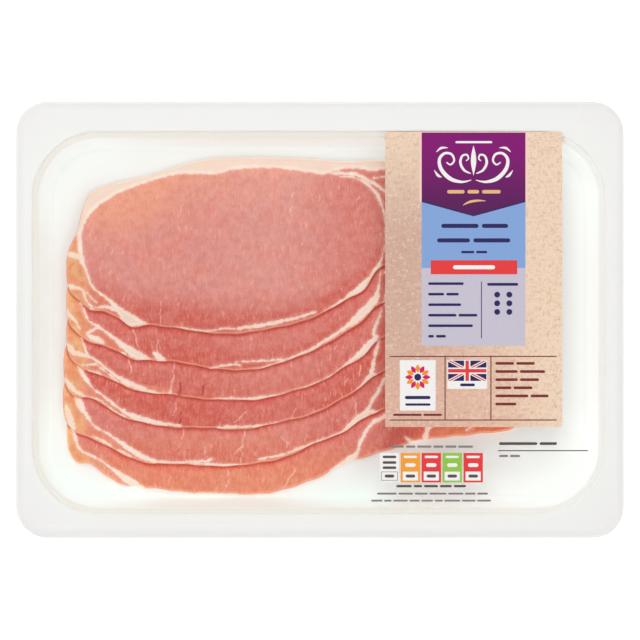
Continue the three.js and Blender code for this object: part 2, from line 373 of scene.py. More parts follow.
FAR_EDGE = np.array([
    (-109.1, 30.8), (-108.4, 35.5), (-106.5, 40), (-104.3, 45), (-102.8, 52), (-99.8, 59.5),
    (-94, 63.4), (-84, 66), (-73.5, 68.2), (-62, 72), (-47, 75.5), (-29.9, 76.1),
    (-14.9, 75.9), (-0.8, 75.3), (10.7, 74.4), (19.5, 73.9), (27.8, 73), (40, 70.6),
    (55, 66), (69, 60.5), (79.5, 55.5), (84.8, 50.5), (86.2, 43),
])

# How far each rasher's near edge lies in front of the first one's, at the points from the fifth on.
FIRST_UNEVEN_POINT = 4
TAIL_POINTS = 4
UNEVENNESS = (
    (1.8, 0.3, 0, 1.4, -0.6, -0.7, 0.3, -0.3, -0.1, 0.3, 0, -0.2, -3.7),
    (1.4, 0.7, 0.2, 0.3, -0.3, -0.3, 0.6, 1.5, 0.3, 0, -0.9, -1.7, -2.4),
    (0.6, -0.1, -0.5, -0.8, 0.1, -0.1, 0.3, 0.3, 0.5, 0.7, 0, 0.2, -1.6),
    (-2.2, -2.1, -0.9, -1, -0.3, 0.1, -0.7, -0.7, -0.8, 0.3, 0.8, 0, 0.1),
    (-0.1, 0.3, 0.6, 0.5, 1.7, 1.4, 0.6, 0.2, 0.1, -1, 0.4, -0.4, 2.1),
    (-1.6, 0.7, 0.6, -0.6, -0.8, -0.5, -1.2, -1, 0.1, -0.2, -0.3, 2.2, 5.5),
)

# All that isn't back fat, as one closed curve: distance along the pack, height above the near edge.
LEAN_BODY = [
    (-113, 39), (-109.4, 41), (-103.6, 42.6), (-102.3, 44.2), (-100.7, 48.6), (-95.8, 54.8), (-86, 60.9),
    (-68.3, 67.3), (-56.5, 69), (-46.7, 68.7), (-41.8, 69.3), (-35.5, 71), (-18.8, 71.4), (-4.1, 69.5),
    (1.5, 68.6), (10.1, 71.1), (18, 71.1), (22.3, 69.9), (27.6, 70.7), (34, 68.3), (46, 63.8), (58, 58),
    (70, 52.5), (80, 48.5), (90, 46), (96, 30), (60, -12), (0, -14), (-60, -14), (-113, -14),
]

# The seams of fat in each rasher, in the same measures: smooth curves through points, each with half
# the seam's width there. The first curve of a rasher parts its chine from its loin eye. The layers of
# the tail are the same in all six.
FAT_SEAMS = ([
    [(-103.7, 43.4, 0.9), (-102.5, 32.5, 1), (-100.6, 27.8, 0.5), (-97.5, 20.3, 0.38),
     (-91.1, 15.1, 0.6), (-85.1, 9.2, 1.6), (-82.5, 6.6, 2.6), (-79.5, 5.3, 2.2), (-74, 4.5, 0.3)],
    [(-109.5, 34.6, 1.2), (-104.3, 33.3, 1.2), (-102.4, 31.8, 0.9)],
    [(-109.5, 20.6, 1.3), (-102.4, 19.2, 0.5), (-100.1, 14.3, 0.3), (-97.9, 11.7, 0.38)],
    [(-99.8, 17.9, 0.2), (-98.6, 16, 0.32), (-95.6, 13.4, 0.21)],
    [(-99.2, 10.2, 0.26), (-93.6, 11.6, 0.5), (-88.1, 10.7, 0.9)],
    [(8.7, 67.8, 0.21), (13.6, 67.6, 0.32), (18, 66, 0.38), (24.4, 60.4, 0.7), (27.7, 51.5, 0.34),
     (28.3, 43.6, 0.21), (27.5, 35.9, 0.26), (26.2, 31.6, 0.38), (23.4, 25, 1.8), (19.7, 21.4, 1.7),
     (11.2, 15.1, 0.8), (2.2, 9.7, 0.26)],
    [(4.3, 69.4, 0.5), (13.7, 68.9, 0.7), (18, 67.5, 0.7), (24.9, 63.6, 0.5), (28.3, 61.1, 0.34)],
    [(23.4, 67.2, 0.21), (27.8, 67.8, 0.34), (32.6, 68.8, 0.5)],
    [(-61.6, 3, 0.2), (-49.2, 1.2, 0.34), (-44.9, 1.7, 0.2), (-40.2, 2.4, 0.38), (-35.9, 2.3, 0.38),
     (-25.4, 3.6, 0.9), (-13.6, 6, 0.6), (-7.7, 7.6, 0.6), (-1.8, 9.3, 0.3)],
], [
    [(-102.6, 27.7, 0.3), (-99.8, 21.2, 0.38), (-97.9, 19.1, 0.38), (-94.5, 17.3, 0.4),
     (-88.9, 13.2, 0.7), (-83.8, 8.9, 1.4), (-78.2, 5.3, 1.9), (-72.7, 3.6, 0.3)],
    [(-95.8, 17.1, 0.34), (-99.6, 14.2, 0.7), (-95.1, 11.9, 1.3), (-93.2, 10.7, 0.7)],
    [(-71.4, 6.5, 0.26), (-69.5, 4.8, 1.2), (-68, 3.1, 1.4), (-65.8, 2.1, 0.5)],
    [(-109.5, 24.3, 1.2), (-105.2, 20.2, 0.5), (-103, 16.6, 0.5)],
    [(-108, 14.2, 0.5), (-106, 14.6, 1), (-103.8, 13.6, 0.8), (-102.6, 11.9, 0.3)],
    [(-86.2, 6.1, 0.21), (-84.7, 6.2, 0.4), (-83.2, 5.8, 0.21)],
    [(26.1, 41.8, 0.21), (25.5, 35.9, 0.34), (24.6, 32, 0.8), (23.6, 29.2, 1.6), (16.5, 21.7, 1.7),
     (12.2, 18.2, 1), (7.7, 14.9, 0.7), (-3.4, 8, 0.6), (-7.2, 6.3, 0.7), (-12.8, 3.9, 0.38),
     (-21.4, 3.1, 0.34), (-35.9, 2.5, 0.21)],
    [(-10.7, 4.8, 0.4), (-23.9, 0.1, 0.38), (-29.9, -1.2, 0.21)],
    [(-47, -0.3, 0.21), (-38, 1.4, 0.38), (-34.2, 1, 0.21)],
    [(29.1, 33.3, 0.6), (27.6, 27.3, 0.5), (26.4, 23.9, 0.38)],
], [
    [(-102.6, 27.5, 0.3), (-100.7, 21.4, 0.38), (-99.1, 18.8, 0.5), (-96.5, 17.3, 0.4),
     (-89.3, 11.6, 0.6), (-83.4, 7.8, 1.1), (-75.2, 4.1, 1.1), (-67.1, 2.2, 0.6), (-64.8, 2.5, 0.5),
     (-63.7, 5.3, 0.21)],
    [(-109.5, 23.2, 1.3), (-107.3, 22.2, 1.4), (-105.2, 20.2, 1.2), (-99.2, 18.5, 0.6)],
    [(-101.3, 14.9, 0.21), (-98.3, 15.2, 0.3), (-95.3, 14.6, 0.26), (-86.6, 7.8, 0.26)],
    [(-99.2, 12.4, 0.26), (-95.8, 11.5, 0.6), (-94.1, 10.7, 0.3)],
    [(27, 39.4, 0.26), (23.8, 31.2, 0.6), (23.1, 28.8, 0.8), (24.2, 26.7, 0.9), (22.1, 24.7, 1.5),
     (18.9, 21.1, 1.6), (12.4, 16, 0.7), (7.3, 11.7, 0.5), (0.9, 8.2, 0.38), (-11.1, 3.7, 0.4),
     (-17.1, 2.3, 0.4), (-26.7, 0.6, 0.8), (-35.9, 0.5, 0.21)],
    [(-45.7, 0.3, 0.21), (-38, 0.8, 0.4), (-34.2, 0.4, 0.21)],
], [
    [(-102.6, 30.5, 0.8), (-101.4, 25.8, 1.1), (-96.5, 18.6, 0.4), (-92.6, 15.8, 0.38),
     (-84.6, 9.5, 0.6), (-77.4, 5.8, 1.2), (-69.2, 3.6, 0.9), (-58.5, 2.4, 0.26)],
    [(-108, 22.5, 0.4), (-106, 19.6, 1.1), (-103.6, 17.1, 1), (-101.2, 15.9, 0.5), (-99.6, 14.7, 0.34),
     (-93.8, 13.5, 0.3), (-86.8, 8.3, 0.3), (-81.2, 5.8, 0.21)],
    [(27.4, 41.9, 0.34), (25.7, 35.2, 0.7), (25, 32.5, 0.6), (23.5, 24.8, 0.9), (21.9, 22, 1.3),
     (19.1, 18.5, 1.2), (14.6, 13.4, 0.5), (2.2, 7.7, 0.3), (-8.9, 4.4, 0.38), (-12.9, 3.9, 0.6),
     (-18.2, 2.8, 0.6), (-30.6, 2, 0.4), (-37.2, 1.8, 0.6), (-42.7, 1.5, 0.26)],
    [(23.8, 25.2, 0.8), (25.7, 23.8, 0.8), (28.3, 23, 0.9), (30, 22.2, 0.6)],
], [
    [(-103.5, 35.3, 0.5), (-103.9, 31.9, 0.9), (-102.6, 28.4, 1.5), (-100.9, 25, 1.3),
     (-99.4, 22.4, 0.7), (-95.4, 16.9, 0.5), (-89.5, 13.6, 0.5), (-77.4, 5.2, 1.1), (-71, 2.2, 1),
     (-67.6, 1.6, 0.6), (-57.7, 1.3, 0.5), (-47.9, 1.9, 0.6), (-44.9, 2.8, 0.38)],
    [(-107.6, 26, 0.4), (-106.9, 22.6, 1.3), (-106, 19.6, 1.5), (-104.6, 16.4, 1.1)],
    [(-57.7, 1.2, 0.38), (-35.5, -0.1, 0.6), (-29.9, -0.3, 0.26)],
    [(-96.2, 12.3, 0.26), (-91.9, 10.7, 0.6), (-88.1, 8.3, 0.2)],
    [(-85.1, 6.6, 0.21), (-83, 5.5, 0.34), (-80, 4, 0.21)],
    [(29.5, 37.4, 0.6), (26.6, 31.4, 0.6), (25.1, 29.3, 0.8), (22.6, 24.2, 0.9), (20.8, 21.6, 1.4),
     (17.6, 19.4, 1.8), (12.7, 15.3, 0.7), (9.4, 13.5, 0.4), (-0.8, 9.8, 0.34), (-13.7, 4.9, 0.38),
     (-24.8, 2.6, 0.2)],
    [(21.8, 22.7, 1.2), (24.2, 23.1, 1), (30, 22, 0.5)],
], [
    [(-108.4, 43, 0.6), (-108.8, 38.7, 1.1), (-107.6, 34.4, 1.4), (-106.3, 30.6, 1.2),
     (-105.6, 26.7, 0.7), (-103, 20.2, 0.5), (-95.1, 16.2, 0.4), (-89.6, 12.2, 0.6), (-81.5, 6.5, 1.7),
     (-75.5, 3.5, 0.5)],
    [(-75.5, 3.3, 0.34), (-70.3, 2.4, 0.38), (-56.2, 1.4, 0.3), (-41.7, 1.2, 0.34)],
    [(30.2, 36.1, 0.6), (26.8, 34, 0.7), (23.3, 32.3, 0.8), (20, 28, 0.6), (17.6, 23.3, 0.6),
     (16.2, 19.3, 0.8), (14.1, 16.7, 1.4), (10.9, 14.5, 1.4), (4.9, 11.4, 0.38)],
    [(49.9, 34.4, 1.9), (48.2, 31.9, 1.6), (46.7, 29.3, 1), (45.3, 23.7, 0.9)],
    [(37, 25.7, 0.21), (38.7, 24.4, 0.7), (41.3, 23.6, 0.8), (43.9, 24, 0.6)],
    [(63.1, 28.6, 0.21), (65.7, 30.2, 0.34), (64.4, 31.4, 0.21)],
])
TAIL_LAYERS = [
    [(28, 41, 0.5), (38, 44.5, 1), (50, 46.5, 1.3), (64, 46, 1.2), (78, 44.5, 0.8)],
    [(30, 60, 0.4), (40, 57, 0.9), (52, 54, 1.2), (64, 51.5, 0.9), (74, 49.5, 0.5)],
    [(40, 34, 0.3), (50, 37, 0.8), (62, 38.5, 0.7), (74, 39, 0.4)],
]

# Streaks of fat inside the lean: two ends and half the width at the first. Clefts are small splits.
VEINS = (
    [(-12.4, 60.3, -12.2, 54.7, 0.21), (-12.2, 54.7, -12.7, 49.6, 0.32),
     (-11.1, 60.9, -11.3, 60.1, 0.26), (17.1, 59, 16, 57.3, 0.3), (-60, 55.1, -59.9, 51.3, 0.26),
     (-69.7, 59.8, -70, 57.3, 0.21), (-7.4, 38.9, -7.6, 37.8, 0.3), (1.3, 40.6, 1.1, 39.7, 0.24),
     (-7.2, 20.3, -7.9, 19.4, 0.3), (-68, 13.7, -68.4, 3.4, 0.24), (-5.9, 47.9, -7, 44.4, 0.17),
     (-28.2, 23.1, -30.8, 20.5, 0.19), (-63.3, 47.4, -62.8, 44, 0.21),
     (-88.9, 35.9, -89.6, 33.8, 0.26), (-25.6, 41, -26.3, 38.5, 0.19)],
    [(-80.2, 16.3, -78.9, 12.5, 0.3), (-78.9, 12.5, -77.6, 8.7, 0.34), (-69.6, 11.9, -69.9, 6.8, 0.26),
     (18.2, 17.5, 17.4, 14.9, 0.26)],
    [(-82.1, 17.7, -81.4, 14.7, 0.3), (-81.4, 14.7, -81.2, 11.3, 0.34), (-62.5, 16, -62.9, 10.4, 0.3),
     (-62.9, 10.4, -64.7, 3.6, 0.36), (7.1, 23.2, 6, 20.9, 0.24)],
    [(-60.3, 12.8, -60.9, 9.8, 0.21), (-60.9, 9.8, -62, 6.6, 0.26), (-9.6, 9.6, -10.5, 5.3, 0.3),
     (-30.3, 8.5, -32.2, 6.4, 0.26), (-32.2, 6.4, -35.4, 3.8, 0.3), (18.9, 28.2, 18.2, 23.9, 0.34),
     (13.3, 22.6, 12.3, 20.9, 0.21)],
    [(-56.7, 15.8, -59.4, 7.1, 0.26), (-30.8, 15.6, -31.5, 8.3, 0.34), (-31.5, 8.3, -35, 4.9, 0.34),
     (-31.5, 8.3, -32.5, 1.3, 0.3), (-14.7, 12.2, -12.6, 9.8, 0.34), (-12.6, 9.8, -12.2, 3.8, 0.34),
     (-4.7, 14.3, -4.2, 8.3, 0.21), (15.8, 29.5, 17.5, 26.5, 0.26), (17.5, 26.5, 16.4, 19.4, 0.26),
     (12.4, 21.6, 13.5, 19, 0.26), (-47.9, 7.9, -46.8, 3.2, 0.21), (2.6, 12.4, 2.2, 10.5, 0.26)],
    [(-39.4, 13, -39.6, 7.1, 0.32), (-39.6, 7.1, -41, 2.8, 0.34), (-39.6, 7.1, -38.5, 3.2, 0.26),
     (-10.1, 12, -13.5, 7.7, 0.34), (-13.5, 7.7, -15.4, 3.8, 0.36), (-93.9, 22.9, -90.4, 20.3, 0.21)],
)
CLEFTS = (
    [],
    [],
    [(-59.6, 7.4, -60.3, 1.8, 0.3), (-49.8, 6.8, -50.4, 2.3, 0.3)],
    [(-58.5, 8.1, -58.9, 3.4, 0.27)],
    [],
    [],
)


def smoothstep(low, high, value):
    """0 below low, 1 above high, and 3 t^2 - 2 t^3 between them."""
    share = np.clip((value - low) / (high - low), 0, 1)
    return share * share * (3 - 2 * share)


def through(points, steps):
    """Catmull-Rom curve through points, in so many steps from each to the next: (2 p1 + (p2 - p0) t
    + (2 p0 - 5 p1 + 4 p2 - p3) t^2 + (3 p1 - p0 - 3 p2 + p3) t^3) / 2 between p1 and p2."""
    points = np.asarray(points, float)
    knots = np.vstack([points[:1], points, points[-1:]])
    place = np.linspace(0, len(points) - 1, steps * (len(points) - 1) + 1)
    start = np.minimum(place.astype(int), len(points) - 2)
    t = (place - start)[:, None]
    p0, p1, p2, p3 = (knots[start + step] for step in range(4))
    bend = 2 * p0 - 5 * p1 + 4 * p2 - p3
    twist = 3 * p1 - p0 - 3 * p2 + p3
    return (2 * p1 + (p2 - p0) * t + bend * t**2 + twist * t**3) / 2


PLACES_AT_ONCE = 3000


def depth_inside(x, y, outline):
    """Distance to a closed outline: the nearest side's, above 0 where a ray to the right crosses an
    odd number of sides and below 0 elsewhere."""
    start = np.asarray(outline, float)
    side = np.roll(start, -1, axis=0) - start
    points = np.stack([x.ravel(), y.ravel()], axis=-1)
    depth = np.empty(len(points))
    rise = np.where(side[:, 1] == 0, 1e-9, side[:, 1])
    for rows in np.array_split(np.arange(len(points)), 1 + len(points) // PLACES_AT_ONCE):
        away = points[rows, None] - start
        share = np.clip((away * side).sum(-1) / (side**2).sum(-1), 0, 1)
        gap = away - share[..., None] * side
        nearest = np.sqrt((gap**2).sum(-1).min(axis=1))
        spans = (away[..., 1] < 0) != (away[..., 1] < side[:, 1])
        crossed = spans & (away[..., 0] < side[:, 0] * away[..., 1] / rise)
        depth[rows] = np.where(crossed.sum(axis=1) % 2 == 1, nearest, -nearest)
    return depth.reshape(x.shape)


SEAM_REACH = 5.0
CURVE_STEPS = 6


def gap_to_seams(x, y, seams):
    """Distance to the nearest seam less its half width there, at most SEAM_REACH. Along each short
    side of a seam's curve the place and the half width are both mixed by the same share."""
    gap = np.full(x.shape, SEAM_REACH)
    for seam in seams:
        curve = through(seam, CURVE_STEPS)
        low = curve.min(axis=0) - SEAM_REACH
        high = curve.max(axis=0) + SEAM_REACH
        close = (x > low[0]) & (x < high[0]) & (y > low[1]) & (y < high[1])
        start, side = curve[:-1], np.diff(curve, axis=0)
        away_x = x[close][:, None] - start[:, 0]
        away_y = y[close][:, None] - start[:, 1]
        share = (away_x * side[:, 0] + away_y * side[:, 1]) / (side[:, 0] ** 2 + side[:, 1] ** 2)
        share = np.clip(share, 0, 1)
        away = np.hypot(away_x - share * side[:, 0], away_y - share * side[:, 1])
        nearest = (away - start[:, 2] - share * side[:, 2]).min(axis=1)
        gap[close] = np.minimum(gap[close], nearest)
    return gap


def cut(curve, order):
    """The near edge as the blade leaves it: y + 0.16 sin(x / 1.7 + n) + 0.2 sin(x / 4.6 + 2 n)."""
    x = curve[:, 0]
    wander = 0.16 * np.sin(x / 1.7 + order) + 0.2 * np.sin(x / 4.6 + 2 * order)
    inner = smoothstep(0, 9, x - x[0]) * smoothstep(0, 9, x[-1] - x)
    return curve + np.stack([np.zeros_like(x), wander * inner], axis=-1)


def placed_edges(order):
    """Both edges of a rasher where it lies. Its tail moves on both, so that they meet at the tip."""
    place = np.array([SIDE_SHIFTS[order], FIRST_NEAR_EDGE - sum(FAN_STEPS[: order + 1])])
    near, far = NEAR_EDGE + place, FAR_EDGE + place
    forward = np.array(UNEVENNESS[order])
    number = np.arange(len(NEAR_EDGE))
    held = forward[np.clip(number - FIRST_UNEVEN_POINT, 0, len(forward) - 1)]
    near[:, 1] -= np.where(number < FIRST_UNEVEN_POINT, 0, held)
    tail_start = FIRST_UNEVEN_POINT + len(forward) + 1 - TAIL_POINTS
    far[:, 1] -= np.clip((number - tail_start) / TAIL_POINTS, 0, 1) * forward[-1]
    return near, far, place


def outline_of(order):
    """A rasher's closed outline, with its cut near edge."""
    near, far, _ = placed_edges(order)
    return np.vstack([cut(through(near, 5), order), through(far, 3)[-2:0:-1]])


# The tray's floor is ruled into a coarse grid, and each rasher's height is sampled from it.
MAP_STEP = 2.0
map_x, map_y = np.meshgrid(np.arange(-132, 133, MAP_STEP), np.arange(-96, 97, MAP_STEP))


def sampled(heights, x, y):
    """Bilinear value of heights on the coarse grid: the four round a place, mixed by its share of the
    way between them."""
    column = np.clip((x - map_x[0, 0]) / MAP_STEP, 0, heights.shape[1] - 1.001)
    row = np.clip((y - map_y[0, 0]) / MAP_STEP, 0, heights.shape[0] - 1.001)
    i, j = row.astype(int), column.astype(int)
    u, v = row - i, column - j
    lower = heights[i, j] * (1 - v) + heights[i, j + 1] * v
    upper = heights[i + 1, j] * (1 - v) + heights[i + 1, j + 1] * v
    return lower * (1 - u) + upper * u


# Raw cured pork. The lean, of which the points carry the depth in millimetres from fat, is clouded,
# streaked along its fibres and flecked with fat, with a painted highlight along its rim. The fat is
# cream, and pinker where it meets the lean. Where a slice rests on another, a painted shadow darkens
# the foot of its cut edge to a deep red, and a painted glow lifts the shade all over the meat.
pork, pork_shader, pork_place = new_material("cured_pork")
lean, warm, deep, rim_depth = (pork_place.carried(name) for name in ("lean", "warm", "deep", "rim"))
cleft_and_edge_shadow, vein, resting, glow = (pork_place.carried(name) for name in ("cleft_and_edge_shadow", "vein", "resting", "glow"))
ragged = lean + (pork_place.noise(0.45, 2) - 0.5) * 1.6 + (pork_place.noise(1.3, 2, 0.6) - 0.5)
meat = ragged.step(-0.3, 0.4)
cloud = pork_place.noise(0.09, 2)
mottle = pork_place.noise(0.28, 2, 0.6)
fibre = pork_place.stretch(1.5, 0.28, 1).noise(1.0, 3, 0.6)
grain = pork_place.noise(1.4, 2, 0.65)
tint = cloud.step(0.35, 0.7).mix(colour(226, 152, 142), colour(231, 147, 133))
tint = warm.step(0.0, 1.0).mix(tint, colour(243, 169, 135))
tint = deep.mix(tint, warm.step(0.3, 1.2).mix(colour(212, 85, 67), colour(219, 84, 38)))
amber = pork_place.noise(0.16, 2).step(0.4, 0.62).mix(colour(238, 181, 114), colour(234, 148, 90))
tint = (warm - 1.0).step(0.0, 1.0).mix(tint, amber)
tint = (mottle.step(0.42, 0.62) * 0.16).mix(tint, colour(250, 184, 172))
tint = (mottle.step(0.5, 0.32) * 0.16).mix(tint, colour(214, 98, 76))
tint = tint.dim(0.83 + fibre * 0.2 + grain * 0.12)
tint = ((fibre * 0.6 + grain * 0.4).step(0.42, 0.62) * 0.13).mix(tint, colour(250, 190, 178))
tint = (ragged.step(1.5, 0.2) * 0.28).mix(tint, colour(244, 184, 162))
flecks = pork_place.stretch(1.1, 0.3, 1).noise(0.9, 2, 0.5).step(0.58, 0.72)
tint = (flecks * cloud.step(0.35, 0.6) * 0.4).mix(tint, colour(250, 200, 184))
broken = (vein * (0.35 + grain * 0.7)).step(0.15, 0.75)
tint = (broken * 0.6).mix(tint, colour(250, 210, 194))
# Painted highlight: a pale peach line along the rounded rim of the lean.
tint = (rim_depth.step(0.15, 0.45) * rim_depth.step(1.2, 0.7) * 0.5).mix(tint, colour(246, 184, 148))
# Dark red in the clefts, and painted shadow right under the edge of the rasher above.
tint = cleft_and_edge_shadow.mix(tint, colour(184, 54, 40))
fat = pork_place.noise(0.25, 2).step(0.35, 0.7).mix(colour(255, 239, 226), colour(253, 228, 212))
fat = (ragged.step(-1.2, 0.1) * 0.5).mix(fat, colour(249, 205, 187))
fat = (warm.step(1.0, 2.0) * 0.6).mix(fat, colour(250, 222, 190))
rind_line = rim_depth.step(0.5, 1.0) * rim_depth.step(1.8, 1.2)
fat = (rind_line * 0.35).mix(fat, colour(243, 214, 184))
fat = (lean.step(-0.7, -2.0) * 0.7).mix(fat, colour(243, 215, 196))
flesh = meat.mix(fat, tint)
# Painted shadow: a deep red line at the foot of the cut edge where a slice rests on another.
flesh = (resting * rim_depth.step(0.34, 0.12) * 0.85).mix(flesh, colour(214, 92, 70))
pork_place.feed(
    pork_shader,
    {
        "Base Color": flesh,
        "Roughness": 0.42 + grain * 0.16 - meat * 0.06,
        "Subsurface Weight": 0.2,
        "Subsurface Radius": (1.0, 0.4, 0.25),
        "Subsurface Scale": 1.6 * MM,
        # The emission is a painted glow that lifts the shade: a little everywhere, more where the points
        # carry glow, and at the rounded rim.
        "Emission Color": flesh.dim(0.03 + glow * 0.3 + rim_depth.step(0.5, 0.05) * 0.16),
        "Emission Strength": 1.0,
        "Normal": (fibre * 0.5 + grain * 0.35).bump(0.35, 0.6),
    },
)

# A rasher is ruled from its near edge to its far one. Rows lie closer together near both, where its
# rim is rounded: share - crowding * sin(2 pi share) / (2 pi).
even = np.linspace(0, 1, WIDTH_CELLS + 1)
width_shares = (even - EDGE_CROWDING * np.sin(2 * np.pi * even) / (2 * np.pi))[:, None, None]
body_curve = through([*LEAN_BODY, LEAN_BODY[0]], 3)[:-1]

# The underside has some of the upper face's rows, and is joined to it at both edges.
under_rows = np.linspace(WIDTH_CELLS, 0, UNDER_CELLS + 1).round().astype(int)[1:-1]
under_rows = np.concatenate([[WIDTH_CELLS - 2, WIDTH_CELLS - 5], under_rows, [5, 2]])

# The tone of each rasher: how deep a red, how much deeper at its near edge and over how many
# millimetres, and how far that edge has dried to a warm orange.
BAND_DEPTH = (0, 0.52, 0.46, 0.73, 0.46, 0.56)
EDGE_DEPTH = (0.95, 0.35, 0.22, 0.12, 0.25, 0.05)
LEFT_DEPTH = (0.2, 0.25, 0.25, 0.25, 0.12, 0.05)
EDGE_REACH = (20, 13, 13, 13, 13, 13)
EDGE_WARMTH = (0, 0.15, 0.3, 0.3, 0.7, 1.25)
WARM_REACH = (20, 20, 20, 20, 24, 34)
RIGHT_DEPTH = (0.6, 0.3, 0.25, 0.25, 0.25, 0.1)
CHINE_FOOT = 4.5


def lean_tones(order, along, up, lean_mm, near_up):
    """Warmth, from 0 pink to 1 peach and 2 amber, and depth of red, from 0 to 1. Each is a sum of
    smooth steps along the slice, up it, above its near edge and away from its seams. The chine lies
    left of the first seam, whose place along the slice is read off at each height."""
    seam = np.array([point for point in FAT_SEAMS[order][0] if point[1] > CHINE_FOOT])[::-1]
    chine = smoothstep(0.3, -1.2, along - np.interp(up, seam[:, 1], seam[:, 0]))
    chine *= smoothstep(46, 43, up)
    outer = smoothstep(-96.5, -104, along)

    # Peach at the upper left and under the back fat, and amber where the near edge and the tail have
    # dried.
    upper_left = 0.9 * np.exp(-(((along + 90) / 28) ** 2) - ((up - 57) / 17) ** 2)
    under_cap = 0.5 * smoothstep(10, 1, lean_mm) * smoothstep(48, 62, up) * smoothstep(30, -30, along)
    drying = EDGE_WARMTH[order] * smoothstep(WARM_REACH[order], 6, up)
    warmth = np.clip(upper_left + under_cap, 0, 0.95) + drying
    warmth = warmth * (1 - chine) + chine * (1 + outer)
    warmth = np.maximum(warmth, 1.3 * smoothstep(30, 52, along))

    # Deeper red along the near edge, towards the right and the left, and in the tail.
    band_reach = EDGE_REACH[order] * (1 - 0.4 * smoothstep(-30, 5, along))
    low_band = EDGE_DEPTH[order] * smoothstep(band_reach, 1.5, up - near_up)
    right_side = RIGHT_DEPTH[order] * smoothstep(-20, 22, along)
    tail_side = 0.4 * smoothstep(25, 31, along)
    left_side = LEFT_DEPTH[order] * smoothstep(-20, -60, along)
    redness = BAND_DEPTH[order] + low_band + right_side + tail_side + left_side
    chine_redness = (0.75 - 0.4 * min(EDGE_WARMTH[order], 1)) * (1 - outer)
    return warmth, np.clip(redness, 0, 1) * (1 - chine) + chine * chine_redness


# From the lowest rasher up: each one lifts those above it by a layer over its own area. None lies
# quite flat, and each waves a little more than the one below it.
FLOOR_WAVE, WAVE_PER_LAYER = 0.06, 0.1
SEAM_SWELL, SPLIT_DEPTH = 0.14, 0.2
OUT_OF_REACH = -99.0
layer = RASHER + RASHER_GAP
lift_map = np.full(map_x.shape, PLASTIC + FLOOR_GAP)
wave = np.sin(map_x / 17 + 0.8 * np.sin(map_y / 21)) * np.cos(map_y / 15 + map_x / 60)
for order in reversed(range(len(FAN_STEPS))):
    near, far, place = placed_edges(order)
    near_curve = cut(through(near, CELLS_PER_POINT), order)
    sheet = near_curve * (1 - width_shares) + through(far, CELLS_PER_POINT) * width_shares
    x, y = sheet[..., 0], sheet[..., 1]
    along, up = x - place[0], y - place[1]
    outline = outline_of(order)
    depth = np.maximum(depth_inside(x, y, outline), 0)
    depth[[0, -1]] = 0
    depth[:, [0, -1]] = 0

    # The rim is rounded: over EDGE_ROUND the half thickness grows as a quarter circle does.
    full = np.sqrt(1 - (1 - np.minimum(depth / EDGE_ROUND, 1)) ** 2)

    # The lowest rasher's tail shows in front of the label, where it has no third layer.
    tail_layers = TAIL_LAYERS[: 3 if order < len(FAN_STEPS) - 1 else 2]
    streaks = [[(x1, y1, half), (x2, y2, 0.6 * half)] for x1, y1, x2, y2, half in VEINS[order]]
    splits = [[(x1, y1, half), (x2, y2, half)] for x1, y1, x2, y2, half in CLEFTS[order]]
    lean_mm = np.minimum(
        depth_inside(along, up, body_curve),
        gap_to_seams(along, up, FAT_SEAMS[order] + tail_layers),
    )
    sway = 0.2 * np.sin(1.4 * up + along / 4) + 0.2 * np.sin(0.6 * up - along / 2)
    vein_gap = gap_to_seams(along + sway, up, streaks)
    split_gap = gap_to_seams(along + sway, up, splits)
    warmth, redness = lean_tones(order, along, up, lean_mm, near_curve[:, 1] - place[1])

    # Close to the rasher above, the lean is painted a deeper red as painted shade, with a painted shadow
    # right under its edge. There and under the label, a painted glow lifts the shade.
    over = depth_inside(x, y, outline_of(order - 1)) if order else np.full(x.shape, OUT_OF_REACH)
    under_edge = smoothstep(-4, -0.5, over)
    painted_edge_shadow = 0.55 * smoothstep(-1.4, -0.2, over)
    redness = np.clip(redness + 0.3 * under_edge**2, 0, 1)
    painted_light_by_label = 0.08 * smoothstep(5, 28, x) + 0.7 * smoothstep(30, 45, x)

    layers_below = len(FAN_STEPS) - 1 - order
    underside = sampled(lift_map + (FLOOR_WAVE + WAVE_PER_LAYER * layers_below) * wave, x, y)
    middle = underside + RASHER / 2
    swell = SEAM_SWELL * smoothstep(0.3, -0.5, lean_mm) - SPLIT_DEPTH * smoothstep(0.4, 0, split_gap)
    upper = np.stack([x, y, middle + full * (RASHER / 2 + swell)], axis=-1)
    lower = np.stack([x, y, middle - full * RASHER / 2], axis=-1)[under_rows]
    loop = np.concatenate([upper, lower])
    size = loop.shape[1]
    last = (len(loop) - 1) * size
    first_row = np.stack([np.arange(size - 1), np.arange(1, size)], axis=-1)
    closing = np.hstack([last + first_row, first_row[:, ::-1]])
    faces = np.vstack([grid_faces(len(loop), size), closing])

    name = f"rasher_{order + 1}"
    rasher = new_piece(f"{name}_slice", loop.reshape(-1, 3), faces.tolist(), pork)
    values = {
        "lean": lean_mm,
        "warm": warmth,
        "deep": redness,
        "rim": depth,
        "cleft_and_edge_shadow": np.maximum(smoothstep(0.3, -0.15, split_gap), painted_edge_shadow),
        "vein": smoothstep(0.4, -0.2, vein_gap),
        "resting": smoothstep(PLASTIC + 1.5, PLASTIC + 2.4, sampled(lift_map, x, y)),
        # Painted glow: some on every rasher under another, more under the edge above and by the label.
        "glow": 0.08 * (order > 0) + 0.25 * under_edge + painted_light_by_label,
    }
    for value_name, value in values.items():
        carry(rasher, value_name, np.concatenate([value, value[under_rows]]))
    joined = bmesh.new()
    joined.from_mesh(rasher.data)
    bmesh.ops.remove_doubles(joined, verts=joined.verts, dist=1e-7)
    joined.to_mesh(rasher.data)
    joined.free()
    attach(rasher, "root")
    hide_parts(name)
    lift_map = lift_map + layer * smoothstep(-DROOP, 0, depth_inside(map_x, map_y, outline))


